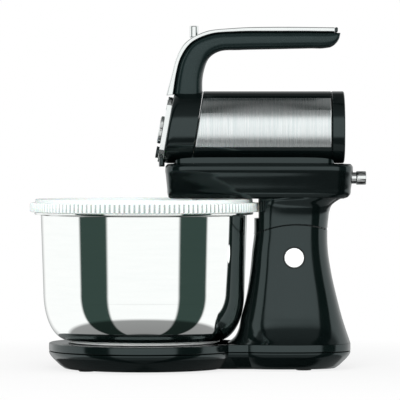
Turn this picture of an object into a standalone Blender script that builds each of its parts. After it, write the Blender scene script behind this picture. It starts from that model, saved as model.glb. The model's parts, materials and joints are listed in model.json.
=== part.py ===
"""Hand mixer docked on a tilting stand with a turning bowl. Lengths are in millimetres until object_from().
+X runs from the nose to the rear, +Y to the mixer's right-hand side, +Z up; the floor is Z = 0."""

from math import atan2, cos, hypot, pi, radians, sin, sqrt

import bmesh
import bpy
from mathutils import Matrix, Vector

MM = 0.001
GAP = 0.3
WALL = 3.0
SEAL = 0.002

# Stand
BOWL_X = -54.0
BASE_R = 95.0
FOOT_X = 88.0
FOOT_LENGTH = 128.8
FOOT_DEPTH = 100.0
WAIST_X = 36.0
WAIST_LENGTH = 104.0
WAIST_DEPTH = 88.0
PAD_H = 1.2
TRAY_TOP = 18.3
BASE_TOP = 26.3
SEAM = (98.0, 52.4)
SEAM_R = 92.0
PIVOT = (127.6, 139.8)
KNUCKLE_R = 2.4
HINGE_PIN_R = 1.1
BUTTON = (95.4, 111.7)
BUTTON_R = 9.6

# Bowl and its drive
TURNTABLE_R = 76.0
BOWL_FOOT_R = 75.0
BOWL_R = 103.0
BOWL_BOTTOM = 28.9
BOWL_TOP = 156.3
BOWL_WALL = 1.2
RING_R = 114.0
RING_LOW = 156.6
RING_HIGH = 166.1
RING_TEETH = 144
PINION_TEETH = 15
COLLAR_TEETH = 16
IDLER_TEETH = 40
UPPER_TEETH = 28
GEAR_MODULE = 1.25
GEAR_LOW = 178.0
GEAR_H = 6.0
SLOT_R = 116.0

# Head arm
ARM_X = 60.8
ARM_LENGTH = 187.4
ARM_LOW = 170.2
ARM_TOP = 205.0
ARM_HALF_LOW = 35.0
ARM_HALF_TOP = 43.0
KNOB_Z = 190.7
KNOB_R = 6.75

# Mixer
BODY_Z = 241.3
BODY_HALF_H = 36.0
BODY_HALF_W = 40.0
BODY_REAR = 145.7
CAP_X = 133.3
CAP_EDGE = 1.5
SHELL = 2.5
SOCKET_X = -4.0
SOCKET_Y = 19.0
WORM_R = 4.6
WHEEL_TEETH = 26
WHEEL_R = 14.1
BEATER_R = 25.0
BLADE_LOW = 42.0
BLADE_HIGH = 148.0
GRIP_HALF = 15.5
TRIM_HALF = 13.0
FASCIA_LEAN = radians(10)
FASCIA_FOOT = (-35.8, 206.0)
FASCIA_UP = 66.0
FASCIA_THICK = 4.6
DIAL_R = 14.0

MATERIALS = {}

for leftover in list(bpy.data.objects):
    bpy.data.objects.remove(leftover)


def material(name, colour, roughness, metallic=0.0):
    """A named finish, made once and shared by the pieces that carry it."""
    if name not in MATERIALS:
        made = bpy.data.materials.new(name)
        made.use_nodes = True
        shader = made.node_tree.nodes["Principled BSDF"]
        shader.inputs["Base Color"].default_value = (*colour, 1)
        shader.inputs["Roughness"].default_value = roughness
        shader.inputs["Metallic"].default_value = metallic
        made.diffuse_color = (*colour, 1)
        MATERIALS[name] = made
    return MATERIALS[name]


def black():
    return material("black_gloss", (0.012, 0.02, 0.02), 0.18)


def white():
    return material("white_plastic", (0.8, 0.82, 0.81), 0.35)


def steel():
    return material("brushed_steel", (0.62, 0.65, 0.64), 0.3, 1)


def chrome():
    return material("chrome", (0.86, 0.88, 0.87), 0.1, 1)


def rubber():
    return material("rubber", (0.03, 0.03, 0.03), 0.8)


def copper():
    return material("copper", (0.72, 0.36, 0.18), 0.4, 1)


def nylon():
    return material("nylon", (0.7, 0.68, 0.6), 0.5)


def dark_steel():
    return material("dark_steel", (0.25, 0.26, 0.27), 0.45, 1)


def object_from(name, shape, origin=(0, 0, 0)):
    """Turns (points, faces) in millimetres into a mesh object in metres with its origin at a given point."""
    points, faces = shape
    mesh = bpy.data.meshes.new(name)
    start = Vector(origin)
    mesh.from_pydata([(Vector(point) - start) * MM for point in points], [], faces)
    work = bmesh.new()
    work.from_mesh(mesh)
    bmesh.ops.recalc_face_normals(work, faces=work.faces)
    work.to_mesh(mesh)
    work.free()
    made = bpy.data.objects.new(name, mesh)
    made.location = start * MM
    bpy.context.scene.collection.objects.link(made)
    return made


def node(name, shape, finish, origin=(0, 0, 0), add=(), take=(), keep=()):
    """A finished piece: the shape, joined with each of add, then intersected with keep and cut by take."""
    made = object_from(name, shape, origin)
    for operation, tools in (("UNION", add), ("INTERSECT", keep), ("DIFFERENCE", take)):
        for tool in tools:
            boolean(made, tool, operation)
    made.data.materials.clear()
    made.data.materials.append(finish)
    made.data.shade_smooth()
    made.data.set_sharp_from_angle(angle=radians(30))
    return made


def boolean(made, shape, operation):
    """Applies one Boolean to the object with a shape that is then thrown away."""
    tool = shape if isinstance(shape, bpy.types.Object) else object_from("tool", shape)
    modifier = made.modifiers.new("boolean", "BOOLEAN")
    modifier.operation = operation
    modifier.solver = "EXACT"
    modifier.object = tool
    bpy.context.view_layer.update()
    graph = bpy.context.evaluated_depsgraph_get()
    result = bpy.data.meshes.new_from_object(made.evaluated_get(graph))
    work = bmesh.new()
    work.from_mesh(result)
    bmesh.ops.remove_doubles(work, verts=work.verts, dist=SEAL * MM)
    bmesh.ops.dissolve_degenerate(work, dist=SEAL * MM, edges=work.edges)
    bmesh.ops.triangulate(work, faces=work.faces)
    work.to_mesh(result)
    work.free()
    made.modifiers.clear()
    made.data = result
    bpy.data.objects.remove(tool)


def combined(first, *others, operation="UNION"):
    """A throw-away object holding the Boolean of several shapes, to serve as one tool."""
    made = object_from("tool", first)
    for other in others:
        boolean(made, other, operation)
    return made


def shape_of(made):
    """Takes a throw-away object back to (points, faces) in millimetres."""
    points = [tuple(made.matrix_world @ vertex.co / MM) for vertex in made.data.vertices]
    faces = [tuple(face.vertices) for face in made.data.polygons]
    bpy.data.objects.remove(made)
    return points, faces


def stack(levels):
    """Skins a pile of outlines that have the same number of points, and caps both ends."""
    count = len(levels[0])
    points = [point for level in levels for point in level]
    faces = [tuple(range(count)), tuple(range(len(points) - count, len(points)))]
    for row in range(len(levels) - 1):
        for i in range(count):
            j = (i + 1) % count
            low = row * count
            faces.append((low + i, low + j, low + count + j, low + count + i))
    return points, faces


def prism(outline, low, high):
    return stack([[(x, y, z) for x, y in outline] for z in (low, high)])


def side_prism(outline, half, centre=0.0):
    """An outline in X and Z pushed out both ways along Y."""
    return stack([[(x, y, z) for x, z in outline] for y in (centre - half, centre + half)])


def box(low, high):
    (x0, y0, z0), (x1, y1, z1) = low, high
    return prism([(x0, y0), (x1, y0), (x1, y1), (x0, y1)], z0, z1)


def rounded(shape, offset, segments=3):
    """The shape with the rims of its two end caps rounded off by offset."""
    work = bmesh.new()
    vertices = [work.verts.new(point) for point in shape[0]]
    faces = [work.faces.new([vertices[i] for i in face]) for face in shape[1]]
    rims = set(faces[0].edges) | set(faces[1].edges)
    bmesh.ops.bevel(work, geom=list(rims), offset=offset, segments=segments, profile=0.5, affect="EDGES")
    work.verts.index_update()
    points = [tuple(vertex.co) for vertex in work.verts]
    result = points, [tuple(vertex.index for vertex in face.verts) for face in work.faces]
    work.free()
    return result


def turned(shape, start, direction):
    """Moves a shape made along +Z so that it starts at a point and runs along a direction."""
    turn = Vector((0, 0, 1)).rotation_difference(Vector(direction)).to_matrix().to_4x4()
    place = Matrix.Translation(start) @ turn
    return [tuple(place @ Vector(point)) for point in shape[0]], shape[1]


def lathe(profile, count=28, centre=(0, 0)):
    """Turns a profile of (radius, z) about the vertical line through centre; radius 0 makes a pole."""
    points, rings = [], []
    for radius, z in profile:
        start = len(points)
        if radius == 0:
            points.append((*centre, z))
            rings.append([start] * count)
            continue
        for i in range(count):
            angle = 2 * pi * i / count
            points.append((centre[0] + radius * cos(angle), centre[1] + radius * sin(angle), z))
        rings.append(list(range(start, start + count)))
    faces = []
    for low, high in zip(rings, rings[1:] + rings[:1]):
        for i in range(count):
            j = (i + 1) % count
            corners = tuple(dict.fromkeys((low[i], low[j], high[j], high[i])))
            if len(corners) > 2:
                faces.append(corners)
    return points, faces


def rod(radius, start, end, count=20):
    """A plain cylinder between two points."""
    reach = Vector(end) - Vector(start)
    length = reach.length
    return turned(lathe([(0, 0), (radius, 0), (radius, length), (0, length)], count), start, reach)


def tube(outer, inner, start, end, count=24):
    reach = Vector(end) - Vector(start)
    length = reach.length
    return turned(lathe([(inner, 0), (outer, 0), (outer, length), (inner, length)], count), start, reach)


def superellipse(centre, half_x, half_y, power, count=48):
    """|x/a|^n + |y/b|^n = 1, spaced by angle."""
    outline = []
    for i in range(count):
        angle = 2 * pi * i / count
        c, s = cos(angle), sin(angle)
        x = half_x * abs(c) ** (2 / power) * (1 if c >= 0 else -1)
        y = half_y * abs(s) ** (2 / power) * (1 if s >= 0 else -1)
        outline.append((centre[0] + x, centre[1] + y))
    return outline


def smooth(corners, steps=3):
    """Catmull-Rom curve through the corners, open at both ends."""
    ends = [corners[0], *corners, corners[-1]]
    curve = []
    for before, start, end, after in zip(ends, ends[1:], ends[2:], ends[3:]):
        for i in range(steps):
            t = i / steps
            point = []
            for p, q, r, s in zip(before, start, end, after):
                square, cube = 2 * p - 5 * q + 4 * r - s, 3 * q - p - 3 * r + s
                point.append(0.5 * (2 * q + (r - p) * t + square * t**2 + cube * t**3))
            curve.append(tuple(point))
    return [*curve, corners[-1]]


def gear_outline(centre, teeth, pitch_r, phase, addendum, dedendum, root=0.32):
    """Pointed teeth; root is the share of the pitch that a tooth's foot takes up on each side."""
    corners = [(-root, pitch_r - dedendum), (0, pitch_r + addendum)]
    if root < 0.5:
        corners.append((root, pitch_r - dedendum))
    outline = []
    for i in range(teeth):
        for share, radius in corners:
            angle = phase + 2 * pi * (i + share) / teeth
            outline.append((centre[0] + radius * cos(angle), centre[1] + radius * sin(angle)))
    return outline


def meshed_phase(phase, teeth, centre, other_teeth, other_centre):
    """Phase of a second gear whose tooth gap meets the first gear's tooth on the line of centres."""
    line = atan2(other_centre[1] - centre[1], other_centre[0] - centre[0])
    along = ((line - phase) * teeth / (2 * pi)) % 1
    return line + pi - (0.5 - along) * 2 * pi / other_teeth


def helix_coil(centre, low, high, radius, wire, turns, count=8, sides=5):
    """A coil spring standing on Z, with plain cut ends."""
    rings = []
    steps = turns * count
    for i in range(steps + 1):
        angle = 2 * pi * i / count
        z = low + wire + (high - low - 2 * wire) * i / steps
        ring = []
        for k in range(sides):
            around = 2 * pi * k / sides
            reach = radius + wire * cos(around)
            x, y = centre[0] + reach * cos(angle), centre[1] + reach * sin(angle)
            ring.append((x, y, z + wire * sin(around)))
        rings.append(ring)
    return stack(rings)


# ---------------------------------------------------------------- stand: base, column, turntable spindle


def foot_outline(inset, count=40):
    return superellipse((FOOT_X, 0), FOOT_LENGTH / 2 - inset, FOOT_DEPTH / 2 - inset, 2.5, count)


def waist_outline(inset, count=32):
    """The straight-sided part of the base between the round front and the foot."""
    return superellipse((WAIST_X, 0), WAIST_LENGTH / 2 - inset, WAIST_DEPTH / 2 - inset, 5, count)


def base_slab(low, high, inset):
    disc = lathe([(0, low), (BASE_R - inset, low), (BASE_R - inset, high), (0, high)], 56, (BOWL_X, 0))
    return combined(disc, prism(foot_outline(inset), low, high), prism(waist_outline(inset), low, high))


def column_ring(z, left, right, half, inset=0.0):
    centre = (left + right) / 2
    outline = superellipse((centre, 0), (right - left) / 2 - inset, half - inset, 2.5, 28)
    return [(x, y, z) for x, y in outline]


COLUMN = [
    (26.2, 30.0, 152.2, 49.8),
    (31.0, 36.0, 150.6, 46.0),
    (38.0, 40.0, 148.2, 42.0),
    (50.2, 42.8, 144.3, 37.5),
    (68.6, 47.6, 139.4, 33.0),
    (98.6, 52.4, 132.7, 30.0),
    (118.6, 54.3, 129.8, 29.0),
    (135.0, 56.2, 129.2, 29.0),
    (150.0, 56.3, 130.0, 29.5),
]


def column_solid(inset, low=None):
    rings = [column_ring(z, left, right, half, inset) for z, left, right, half in COLUMN]
    if low is not None:
        rings.insert(0, [(x, y, low) for x, y, _ in rings[0]])
    return stack(rings)


def seam_cylinder(radius, half=60.0):
    """The drum about which the head's underside and the column's top are both shaped."""
    centre = (SEAM[0], 0, SEAM[1])
    return rod(radius, (centre[0], -half, centre[2]), (centre[0], half, centre[2]), 48)


def about_pivot(radius, near, far, count=16):
    return rod(radius, (PIVOT[0], near, PIVOT[1]), (PIVOT[0], far, PIVOT[1]), count)


KNUCKLE_HALF = 5.0
PIN_HALF = 10.0
SIDE_KNUCKLES = ((-PIN_HALF, -KNUCKLE_HALF - GAP), (KNUCKLE_HALF + GAP, PIN_HALF))

under_seam, under_roof = seam_cylinder(SEAM_R - GAP / 2), seam_cylinder(SEAM_R - WALL)
column_outer = shape_of(combined(column_solid(0), under_seam, operation="INTERSECT"))
column_inner = shape_of(combined(column_solid(WALL, 10), under_roof, operation="INTERSECT"))
shell = shape_of(base_slab(TRAY_TOP + GAP, BASE_TOP, 0))
hollow = shape_of(base_slab(TRAY_TOP - 4, BASE_TOP - WALL, WALL))
spindle_hole = rod(5.2, (BOWL_X, 0, 10), (BOWL_X, 0, 40), 32)
button_hole = rod(BUTTON_R + 0.8, (BUTTON[0], -60, BUTTON[1]), (BUTTON[0], -10, BUTTON[1]), 24)
stand_shell = node(
    "stand_shell",
    shell,
    black(),
    add=[column_outer],
    take=[hollow, column_inner, spindle_hole, button_hole]
    + [about_pivot(KNUCKLE_R + 0.5, near - GAP, far + GAP) for near, far in SIDE_KNUCKLES],
)
boolean(stand_shell, about_pivot(KNUCKLE_R, -KNUCKLE_HALF, KNUCKLE_HALF), "UNION")
boolean(stand_shell, about_pivot(HINGE_PIN_R + 0.1, -PIN_HALF - GAP, PIN_HALF + GAP, 12), "DIFFERENCE")

tray_disc = lathe(
    [
        (0, PAD_H),
        (BASE_R - 15, PAD_H),
        (BASE_R - 9, 6.5),
        (BASE_R - 2, 13),
        (BASE_R, TRAY_TOP),
        (0, TRAY_TOP),
    ],
    56,
    (BOWL_X, 0),
)
TRAY_SIDE = ((PAD_H, 15), (6.5, 9), (13, 2.5), (TRAY_TOP, 0.2))
tray_foot = stack([[(x, y, z) for x, y in foot_outline(inset)] for z, inset in TRAY_SIDE])
tray_waist = stack([[(x, y, z) for x, y in waist_outline(inset)] for z, inset in TRAY_SIDE])
tray_hollow = shape_of(base_slab(8, TRAY_TOP + 2, 12))
node("base_tray", tray_disc, black(), add=[tray_foot, tray_waist], take=[tray_hollow])

PADS = [(-110, -45), (-110, 45), (105, -24), (105, 24)]
for index, (x, y) in enumerate(PADS):
    pad = lathe([(0, 0), (7, 0), (8, PAD_H - GAP), (0, PAD_H - GAP)], 24, (x, y))
    node(f"foot_pad_{index + 1}", pad, rubber())

node("ballast_plate", rounded(box((60, -30, 8 + GAP), (125, 30, 14)), 1.0, 1), dark_steel())
shoulder = BASE_TOP - WALL - GAP
spindle_profile = [(0, 8 + GAP), (9, 8 + GAP), (9, shoulder), (4.9, shoulder), (4.9, 27.8), (0, 27.8)]
spindle = lathe(spindle_profile, 32, (BOWL_X, 0))
node("turntable_spindle", spindle, dark_steel())
node("tilt_hinge_pin", about_pivot(HINGE_PIN_R, -PIN_HALF, PIN_HALF, 12), dark_steel())

# Column release button: a disc flush with the column, and a retaining flange behind the wall
BUTTON_FACE_Y = -31.0
button_profile = [(0, 0), (BUTTON_R - 0.8, 0), (BUTTON_R, 0.8), (BUTTON_R, 7.6)]
button_profile += [(12.4, 7.6), (12.4, 9.4), (4, 9.4), (4, 16), (0, 16)]
node(
    "column_release_button",
    turned(lathe(button_profile, 24), (BUTTON[0], BUTTON_FACE_Y, BUTTON[1]), (0, 1, 0)),
    chrome(),
    (BUTTON[0], BUTTON_FACE_Y, BUTTON[1]),
)

# ---------------------------------------------------------------- turntable, bowl and ring gear

node(
    "turntable",
    lathe(
        [
            (5.2, BASE_TOP + GAP),
            (TURNTABLE_R - 0.6, BASE_TOP + GAP),
            (TURNTABLE_R, 27.4),
            (TURNTABLE_R - 0.4, 28.6),
            (5.2, 28.6),
        ],
        48,
        (BOWL_X, 0),
    ),
    white(),
    (BOWL_X, 0, 0),
)


def bowl_wall(thick, power=2.1, steps=6):
    """Bowl side from the flat bottom outwards: a quarter superellipse, then a nearly straight flare."""
    rise, waist = 78.0 - BOWL_BOTTOM, BOWL_R - 2.5
    wall = []
    for i in range(steps + 1):
        angle = pi / 2 * i / steps
        out = BOWL_FOOT_R + (waist - BOWL_FOOT_R - thick) * sin(angle) ** (2 / power)
        wall.append((out, 78 - (rise - thick) * cos(angle) ** (2 / power)))
    return wall


bowl_outer = [(0, BOWL_BOTTOM), *bowl_wall(0), (BOWL_R, 153.7), (109.5, 154.2), (109.5, BOWL_TOP)]
bowl_inner = [(BOWL_R - BOWL_WALL, BOWL_TOP), *reversed(bowl_wall(BOWL_WALL)), (0, BOWL_BOTTOM + BOWL_WALL)]
node("bowl", lathe(bowl_outer + bowl_inner, 48, (BOWL_X, 0)), steel(), (BOWL_X, 0, 0))

bowl_centre = (BOWL_X, 0)
ring_pitch_r = RING_R - 1.5
pinion_r = ring_pitch_r * PINION_TEETH / RING_TEETH
pinion_centre = (BOWL_X + ring_pitch_r + pinion_r, 0)
beater_centres = {"left": (SOCKET_X, -SOCKET_Y), "right": (SOCKET_X, SOCKET_Y)}
collar_r = GEAR_MODULE * COLLAR_TEETH / 2
idler_r = GEAR_MODULE * IDLER_TEETH / 2
upper_r = GEAR_MODULE * UPPER_TEETH / 2


def between(first, reach, second, other_reach):
    """The point at two given distances from two points, on the right of the line from first to second."""
    dx, dy = second[0] - first[0], second[1] - first[1]
    span = hypot(dx, dy)
    along = (reach**2 - other_reach**2 + span**2) / (2 * span)
    off = sqrt(reach**2 - along**2)
    return (first[0] + (along * dx + off * dy) / span, first[1] + (along * dy - off * dx) / span)


idler_centre = between(beater_centres["right"], collar_r + idler_r, pinion_centre, upper_r + idler_r)
collar_phase = 0.0
idler_phase = meshed_phase(collar_phase, COLLAR_TEETH, beater_centres["right"], IDLER_TEETH, idler_centre)
upper_phase = meshed_phase(idler_phase, IDLER_TEETH, idler_centre, UPPER_TEETH, pinion_centre)
ring_phase = 0.0
lower_phase = meshed_phase(ring_phase, RING_TEETH, bowl_centre, PINION_TEETH, pinion_centre)

ring_outline = gear_outline(bowl_centre, RING_TEETH, ring_pitch_r, ring_phase, 1.5, 1.2, root=0.5)
ring_bore = lathe([(0, 150), (104, 150), (104, 175), (0, 175)], 48, bowl_centre)
node(
    "bowl_ring_gear",
    prism(ring_outline, RING_LOW, RING_HIGH),
    white(),
    (BOWL_X, 0, 0),
    take=[ring_bore],
    add=[lathe([(103, 164), (108.75, 164), (108.75, 169.3), (108.3, 169.6), (103, 169.6)], 48, bowl_centre)],
)

# ---------------------------------------------------------------- head: arm and neck


def arm_ring(z, inset=0.0, extra=0.0):
    """Rounded-rectangle section of the arm; it narrows and shortens a little towards its underside."""
    share = (z - ARM_LOW) / (ARM_TOP - ARM_LOW)
    half_y = ARM_HALF_LOW + (ARM_HALF_TOP - ARM_HALF_LOW) * share - inset - extra
    half_x = ARM_LENGTH / 2 - 3.2 * (1 - share) - inset - extra
    outline = superellipse((ARM_X, 0), half_x, half_y, 5, 32)
    return [(x, y, z) for x, y in outline]


def arm_solid():
    levels = [arm_ring(ARM_LOW, extra=3), arm_ring(ARM_LOW + 3.0)]
    levels += [arm_ring(200), arm_ring(203.5, extra=2), arm_ring(ARM_TOP, extra=6)]
    return stack(levels)


NECK = [
    (124.0, 55.5, 129.2, 29.0),
    (138.6, 56.3, 129.2, 29.0),
    (150.0, 56.3, 130.2, 29.5),
    (158.0, 56.3, 131.4, 30.5),
    (164.5, 56.3, 134.6, 32.0),
    (169.0, 56.3, 141.0, 34.0),
    (173.6, 56.3, 149.0, 36.0),
]


def neck_solid(inset, top=None):
    rings = [column_ring(z, left, right, half, inset) for z, left, right, half in NECK]
    if top is not None:
        rings.append([(x, y, top) for x, y, _ in rings[-2]])
        rings.pop(-2)
    return stack(rings)


def disc_about_bowl(radius, low, high):
    return lathe([(0, low), (radius, low), (radius, high), (0, high)], 48, bowl_centre)


slot_wall = disc_about_bowl(SLOT_R + WALL, 147, 173.2)
neck_hollow = combined(neck_solid(WALL, 174), slot_wall, operation="DIFFERENCE")
boolean(neck_hollow, seam_cylinder(SEAM_R + WALL), "DIFFERENCE")
arm_hollow = stack([arm_ring(z, WALL) for z in (173.2, 190, ARM_TOP - WALL)])
shaft_hole = 12.6
idler_boss = rod(5.0, (*idler_centre, 188), (*idler_centre, 203), 16)
pinion_boss = rod(6.0, (*pinion_centre, 188), (*pinion_centre, 203), 16)
pinion_seat = rod(6.0, (*pinion_centre, 142.4), (*pinion_centre, 149), 20)
knob_wall = box((126, -11, 182), (129, 11, 203))
FLOOR_LOW, FLOOR_HIGH = (12, -24), (50, 24)
# Room, seen from the pin, for the column's rear edge as the head tips back over it
TILT_RELIEF = [(-0.4, 0.0), (1.2, 1.1), (3.0, 1.7), (8, 1.7), (8, -6), (-0.4, -6)]
head_shell = node("head_shell", arm_solid(), black(), (PIVOT[0], 0, PIVOT[1]), add=[neck_solid(0)])
boolean(head_shell, seam_cylinder(SEAM_R + GAP / 2), "DIFFERENCE")
boolean(head_shell, disc_about_bowl(SLOT_R, 132, ARM_LOW), "DIFFERENCE")
boolean(head_shell, arm_hollow, "DIFFERENCE")
boolean(head_shell, neck_hollow, "DIFFERENCE")
for boss in (idler_boss, pinion_boss, pinion_seat, knob_wall):
    boolean(head_shell, boss, "UNION")
boolean(head_shell, side_prism([(PIVOT[0] + x, PIVOT[1] + z) for x, z in TILT_RELIEF], 40), "DIFFERENCE")
for near, far in SIDE_KNUCKLES:
    boolean(head_shell, about_pivot(KNUCKLE_R, near, far), "UNION")
head_cuts = [
    about_pivot(KNUCKLE_R + 0.5, -KNUCKLE_HALF - GAP, KNUCKLE_HALF + GAP),
    about_pivot(HINGE_PIN_R + 0.1, -PIN_HALF - 0.1, PIN_HALF + 0.1, 12),
    rod(pinion_r + 1.9, (*pinion_centre, 154.5), (*pinion_centre, 168), 24),
    rod(8.4, (*pinion_centre, 160), (*pinion_centre, 177), 20),
    rod(3.3, (*pinion_centre, 144), (*pinion_centre, 198), 16),
    rod(3.3, (*idler_centre, 185), (*idler_centre, 198), 16),
    rod(KNOB_R + 0.35, (145, 0, KNOB_Z), (165, 0, KNOB_Z), 24),
    rod(3.4, (120, 0, KNOB_Z), (135, 0, KNOB_Z), 20),
    box((*FLOOR_LOW, 160), (*FLOOR_HIGH, 174)),
]
for centre in beater_centres.values():
    head_cuts.append(rod(shaft_hole, (*centre, 160), (*centre, 176), 24))
    head_cuts.append(rod(6.4, (*centre, 195), (*centre, 210), 20))
for tool in head_cuts:
    boolean(head_shell, tool, "DIFFERENCE")

floor_plate = prism(
    [
        (FLOOR_LOW[0] + GAP, FLOOR_LOW[1] + GAP),
        (FLOOR_HIGH[0] - GAP, FLOOR_LOW[1] + GAP),
        (FLOOR_HIGH[0] - GAP, FLOOR_HIGH[1] - GAP),
        (FLOOR_LOW[0] + GAP, FLOOR_HIGH[1] - GAP),
    ],
    ARM_LOW,
    173.2,
)
node("head_floor", floor_plate, black())

idler_collar = rod(5.5, (*idler_centre, 173.5), (*idler_centre, 177.4), 20)
idler_post = rod(3.0, (*idler_centre, 174), (*idler_centre, 197.7), 16)
node("idler_pin", idler_post, dark_steel(), add=[idler_collar])
node("pinion_pin", rod(3.0, (*pinion_centre, 144.3), (*pinion_centre, 197.7), 16), dark_steel())

idler_outline = gear_outline(idler_centre, IDLER_TEETH, idler_r, idler_phase, 1.0, 1.35)
node(
    "idler_gear",
    prism(idler_outline, GEAR_LOW, GEAR_LOW + GEAR_H),
    nylon(),
    (*idler_centre, GEAR_LOW),
    take=[rod(3.08, (*idler_centre, 170), (*idler_centre, 200), 20)],
)
upper_outline = gear_outline(pinion_centre, UPPER_TEETH, upper_r, upper_phase, 1.0, 1.35)
lower_outline = gear_outline(pinion_centre, PINION_TEETH, pinion_r, lower_phase, 1.1, 1.6)
node(
    "bowl_drive_pinion",
    prism(upper_outline, GEAR_LOW, GEAR_LOW + GEAR_H),
    nylon(),
    (*pinion_centre, GEAR_LOW),
    add=[
        prism(lower_outline, RING_LOW, RING_HIGH),
        rod(7.0, (*pinion_centre, 160), (*pinion_centre, 187.7), 20),
    ],
    take=[rod(3.08, (*pinion_centre, 150), (*pinion_centre, 200), 20)],
)

# Rear knob that unlocks the mixer: a push button with a stem that runs in the arm's inner wall
KNOB_END = (168, 0, KNOB_Z)
knob_profile = [(0, 0), (5.6, 0), (KNOB_R, 1.2), (KNOB_R, 21.2)]
knob_profile += [(9.0, 21.2), (9.0, 23.2), (3.2, 23.2), (3.2, 46), (0, 46)]
node("mixer_release_knob", turned(lathe(knob_profile, 24), KNOB_END, (-1, 0, 0)), chrome(), KNOB_END)

# ---------------------------------------------------------------- mixer housings


def body_ring(x_at, inset=0.0, steps=32, squash=1.0):
    """Cross-section of the mixer body; x_at(z) leans it. Its underside is flatter than its crown."""
    ring = []
    for i in range(steps):
        angle = 2 * pi * i / steps
        c, s = cos(angle), sin(angle)
        power = 2.0 if s > 0 else 2.7
        y = (BODY_HALF_W * squash - inset) * abs(c) ** (2 / power) * (1 if c >= 0 else -1)
        z = BODY_Z + (BODY_HALF_H * squash - inset) * abs(s) ** (2 / power) * (1 if s >= 0 else -1)
        ring.append((x_at(z), y, z))
    return ring


def split_x(z, shift=0.0):
    """The slanted joint between the front housing and the body."""
    return -6.5 + (z - 205) * 11.7 / 72.6 + shift


def nose_x(z, shift=0.0):
    """Front face of the front housing, leaning back by the fascia's angle."""
    return FASCIA_FOOT[0] + (z - FASCIA_FOOT[1]) * sin(FASCIA_LEAN) / cos(FASCIA_LEAN) + shift


def housing(front, rear, inset, squash_front=1.0):
    return stack([body_ring(front, inset, squash=squash_front), body_ring(rear, inset)])


body_bottom_hole = [rod(6.4, (*centre, 195), (*centre, 225), 20) for centre in beater_centres.values()]
node(
    "motor_housing",
    housing(lambda z: split_x(z, GAP), lambda z: CAP_X - GAP, 0),
    black(),
    take=[housing(lambda z: split_x(z, -5), lambda z: 150, SHELL), *body_bottom_hole],
)
node(
    "front_housing",
    stack(
        [
            body_ring(lambda z: nose_x(z, 0), 0, squash=0.955),
            body_ring(lambda z: nose_x(z, 3), 0, squash=0.99),
            body_ring(lambda z: nose_x(z, 10), 0),
            body_ring(lambda z: split_x(z, 0), 0),
        ]
    ),
    black(),
    take=[
        housing(lambda z: nose_x(z, SHELL + 1), lambda z: split_x(z, 5), SHELL, 0.97),
        rod(2.4, (SOCKET_X, 0, 265), (SOCKET_X, 0, 290), 20),
        *body_bottom_hole,
    ],
)
GLAND_Z = 222.0
gland_hole = rod(4.2, (130, 0, GLAND_Z), (150, 0, GLAND_Z), 24)
node(
    "rear_cap",
    stack(
        [
            body_ring(lambda z: CAP_X, 0),
            body_ring(lambda z: BODY_REAR - CAP_EDGE, 0),
            body_ring(lambda z: BODY_REAR - CAP_EDGE * 0.3, CAP_EDGE * 0.3),
            body_ring(lambda z: BODY_REAR, CAP_EDGE),
        ]
    ),
    black(),
    take=[housing(lambda z: CAP_X - 5, lambda z: BODY_REAR - SHELL, 2 * SHELL), gland_hole],
)
gland = rod(3.9, (138, 0, GLAND_Z), (BODY_REAR, 0, GLAND_Z), 24)
node("cord_gland", gland, rubber(), take=[rod(2.2, (136, 0, GLAND_Z), (150, 0, GLAND_Z), 20)])


def sleeve(side):
    """A brushed plate that lies on the flank of the body between two heights."""
    low, high, steps = 221.5, 270.0, 10
    rings = []
    for x_end in (0, 1):
        inner, outer = [], []
        for i in range(steps + 1):
            z = low + (high - low) * i / steps
            power = 2.0 if z > BODY_Z else 2.7
            y = BODY_HALF_W * max(0.0, 1 - (abs(z - BODY_Z) / BODY_HALF_H) ** power) ** (1 / power)
            x = CAP_X - 1.5 if x_end else split_x(z, 1.5)
            inner.append((x, side * (y + GAP), z))
            outer.append((x, side * (y + GAP + 0.8), z))
        rings.append(inner + outer[::-1])
    return stack(rings)


node("side_sleeve_left", sleeve(-1), steel())
node("side_sleeve_right", sleeve(1), steel())

# Handle: grip with a bright strip over its back, and a block closing the strip's rear end
GRIP_BACK = [(-24.3, 276.6), (-21.3, 294.5), (-16.9, 310.2), (-5.1, 326.0), (12.7, 333.7)]
GRIP_BACK += [(38.2, 336.0), (80.0, 336.3), (136.0, 335.6)]
GRIP_TIP = [(141.0, 334.8), (142.0, 331.5), (140.4, 326.0), (136.5, 322.4)]
BELLY_CORNER = (29.4, 293.4)
BELLY_R = 25.0
GRIP_BELLY = [(90.0, 319.6), (50.0, 318.6)]
GRIP_BELLY += [
    (BELLY_CORNER[0] + BELLY_R * cos(radians(turn)), BELLY_CORNER[1] + BELLY_R * sin(radians(turn)))
    for turn in range(90, 181, 15)
]
GRIP_BELLY.append((4.4, 276.6))
STRIP_BACK = [(-31.4, 274.5), (-26.6, 291.5), (-22.3, 307.8), (-13.8, 324.6), (0.0, 334.4)]
STRIP_BACK += [(20.4, 338.6), (57.0, 341.3), (136.0, 340.8)]
grip_back = smooth(GRIP_BACK, 2)
grip_outline = grip_back + GRIP_TIP + GRIP_BELLY


def body_lump(inset):
    return housing(lambda z: -60, lambda z: 160, inset)


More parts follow.
